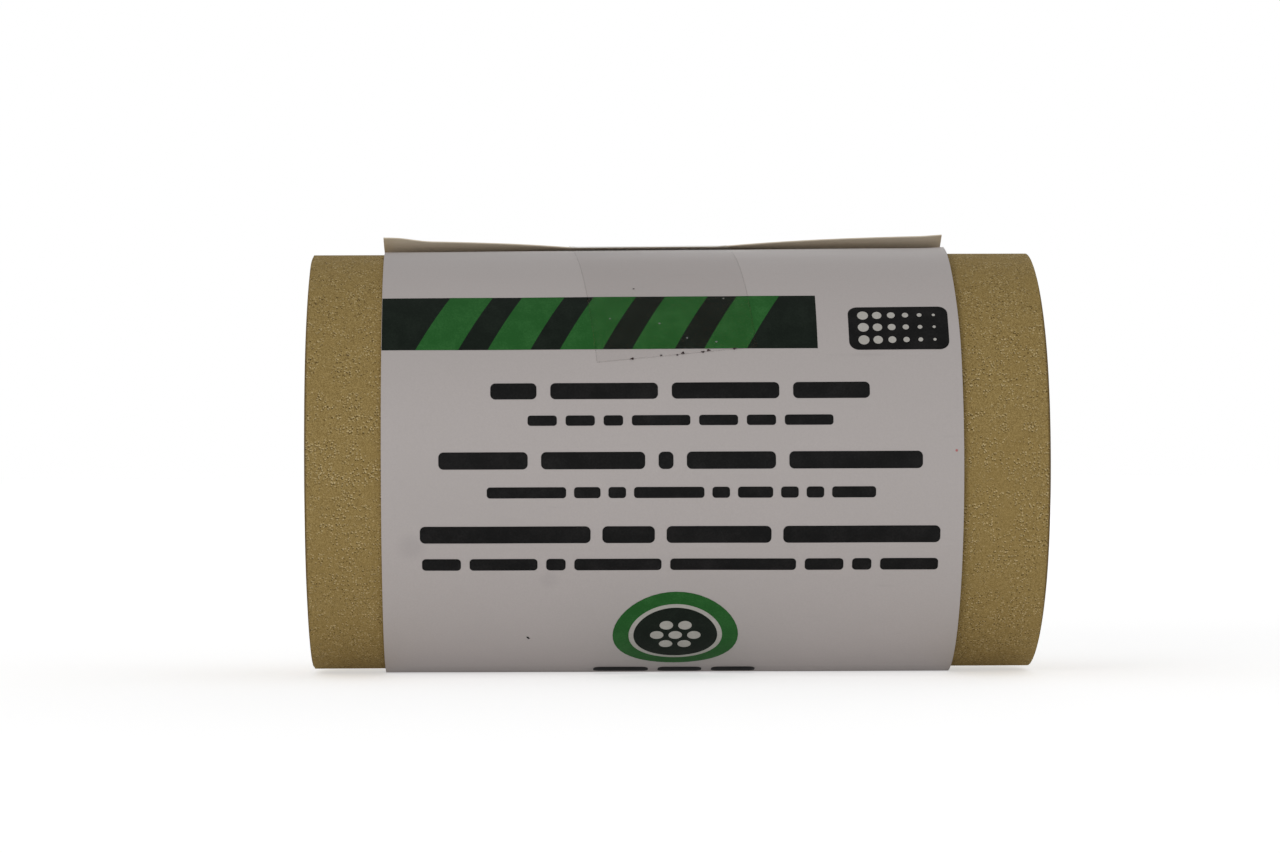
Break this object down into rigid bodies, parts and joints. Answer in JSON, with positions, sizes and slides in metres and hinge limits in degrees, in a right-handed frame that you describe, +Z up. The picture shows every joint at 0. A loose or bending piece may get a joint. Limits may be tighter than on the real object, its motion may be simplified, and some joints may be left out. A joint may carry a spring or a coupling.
{
  "type": "abrasive paper roll",
  "caption": "Coreless roll of fine abrasive paper, held shut by a printed paper band that laps over itself under clear tape.",
  "frame": {"origin": "middle of the empty bore, halfway along the roll", "axes": "+X along the roll's axis, to the right as the label is read; -Y out of the band's printed side; +Z up, towards the lap"},
  "size_m": [0.115, 0.0674, 0.0697],
  "materials": {
    "backing": "matte",
    "grain": "matte",
    "band": "satin",
    "tape": "gloss"
  },
  "bodies": {
    "roll": {"backing_paper": "backing", "grain_coat": "grain"},
    "band": {"band_wrap": "band"},
    "lap": {"band_lap": "band", "closure_tape": "tape"}
  },
  "joints": [
    {"name": "band_slide", "type": "slide", "parent": "roll", "child": "band", "axis": [1, 0, 0], "range_m": [-0.105, 0.105]},
    {"name": "lap_peel", "type": "hinge", "parent": "band", "child": "lap", "pos_m": [0, 0.01269, 0.03141], "axis": [-1, 0, 0], "range_deg": [0, 70]}
  ]
}
